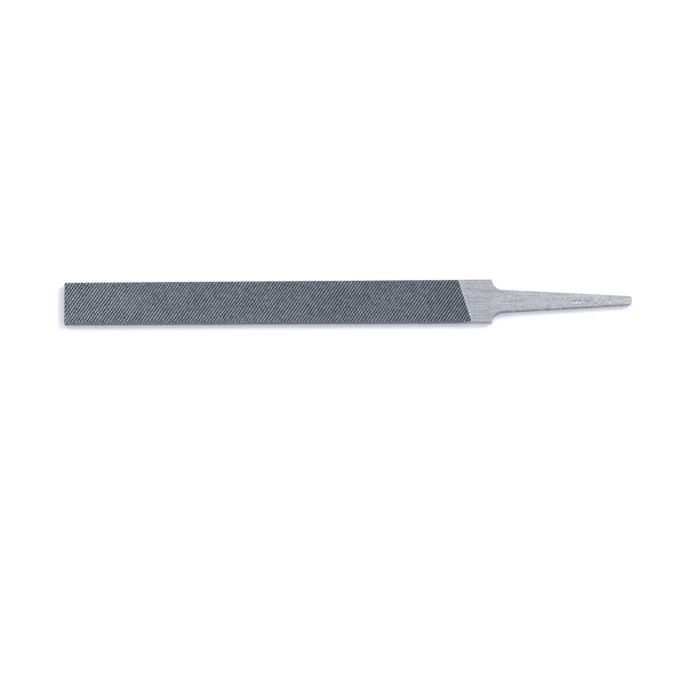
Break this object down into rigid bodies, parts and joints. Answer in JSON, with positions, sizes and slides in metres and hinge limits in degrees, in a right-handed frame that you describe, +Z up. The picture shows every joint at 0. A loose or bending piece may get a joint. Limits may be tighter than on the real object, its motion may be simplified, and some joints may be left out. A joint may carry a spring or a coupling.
{
  "type": "flat file",
  "caption": "Flat hand file for metal: a forged steel bar with toothed faces, a toothed edge, a smooth safe edge and a tapered tang for a handle.",
  "frame": {"origin": "centre of the whole file's box, on the underside, which is the lower face's tooth tops and the heel's lower face", "axes": "+X along the file from its square point to its tang, +Y across it towards the safe edge, +Z up out of the upper face"},
  "size_m": [0.199, 0.015, 0.004],
  "materials": {
    "ground_steel": "bare high-carbon tool steel, ground bright, with fine grinding lines",
    "cut_steel": "the same steel cut into teeth and hardened, a darker grey with bright tooth edges"
  },
  "bodies": {
    "root": {"blade_core": "ground_steel", "upper_cut_face": "cut_steel", "lower_cut_face": "cut_steel", "cut_edge": "cut_steel", "heel": "ground_steel", "tang": "ground_steel"}
  },
  "joints": []
}
